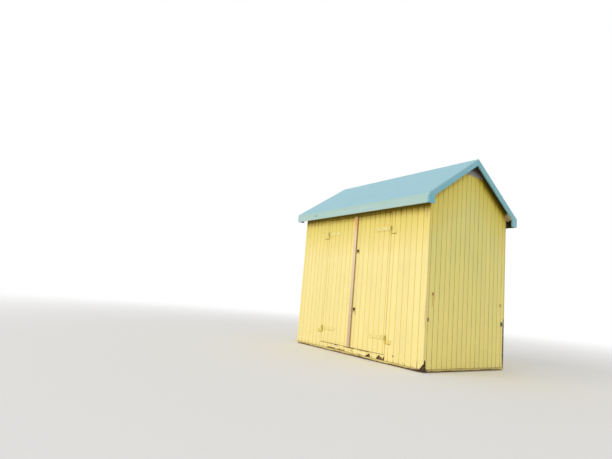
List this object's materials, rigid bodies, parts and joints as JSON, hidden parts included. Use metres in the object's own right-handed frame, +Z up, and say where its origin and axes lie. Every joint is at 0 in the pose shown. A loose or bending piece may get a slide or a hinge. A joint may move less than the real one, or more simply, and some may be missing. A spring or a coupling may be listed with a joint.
{
  "type": "beach hut",
  "caption": "Timber beach hut with a double door under the front eave, upright board walls and a pitched roof with barge boards.",
  "frame": {"origin": "on the ground, under the middle of the hut's roof outline", "axes": "+X along the ridge, to the right seen from the doors; +Y from the doors to the back; +Z up"},
  "size_m": [2.6314, 1.8274, 2.63],
  "materials": {
    "sole_paint": "worn yellow gloss paint on softwood",
    "frame_timber": "sawn softwood, unpainted",
    "floor_timber": "planed softwood, sanded by use",
    "wall_paint": "yellow gloss paint on softwood boards",
    "weathered_timber": "grey weathered softwood",
    "deck_timber": "sawn softwood, shaded",
    "roof_sheet": "pale blue painted roofing sheet",
    "barge_paint": "blue gloss paint on softwood",
    "fascia_paint": "pale blue-green paint on softwood",
    "door_paint": "yellow gloss paint on softwood boards",
    "bare_strip": "bare weathered hardwood",
    "hinge_paint": "yellow paint over rusting steel",
    "lock_steel": "rusted dark steel"
  },
  "bodies": {
    "root": {"soles_long": "sole_paint", "soles_short": "sole_paint", "bottom_rails_long": "frame_timber", "bottom_rails_short": "frame_timber", "floor_joists": "frame_timber", "floor": "floor_timber", "corner_posts": "frame_timber", "door_posts": "frame_timber", "door_head": "frame_timber", "mid_rails": "frame_timber", "wall_plates": "frame_timber", "gable_ties": "frame_timber", "front_wall_left": "wall_paint", "front_wall_right": "wall_paint", "front_wall_over_doors": "wall_paint", "front_wall_under_doors": "wall_paint", "back_wall": "wall_paint", "left_gable_wall": "wall_paint", "right_gable_wall": "wall_paint", "apex_boards": "weathered_timber", "ridge_board": "frame_timber", "rafters": "frame_timber", "verge_rafters": "frame_timber", "front_roof_deck": "deck_timber", "back_roof_deck": "deck_timber", "front_roof_sheet": "roof_sheet", "back_roof_sheet": "roof_sheet", "right_front_barge_board": "barge_paint", "right_back_barge_board": "barge_paint", "left_front_barge_board": "barge_paint", "left_back_barge_board": "barge_paint", "front_fascia": "fascia_paint", "back_fascia": "fascia_paint", "pintles": "hinge_paint"},
    "left_door": {"left_door": "door_paint", "left_door_ledges": "frame_timber", "left_door_braces": "frame_timber", "meeting_strip": "bare_strip", "left_door_straps": "hinge_paint"},
    "right_door": {"right_door": "door_paint", "right_door_ledges": "frame_timber", "right_door_braces": "frame_timber", "right_door_straps": "hinge_paint", "door_locks": "lock_steel"}
  },
  "joints": [
    {"name": "left_door_hinge", "type": "hinge", "parent": "root", "child": "left_door", "pos_m": [-0.619, -0.7995, 1], "axis": [0, 0, -1], "range_deg": [0, 165]},
    {"name": "right_door_hinge", "type": "hinge", "parent": "root", "child": "right_door", "pos_m": [0.639, -0.7995, 1], "axis": [0, 0, 1], "range_deg": [0, 165]}
  ]
}
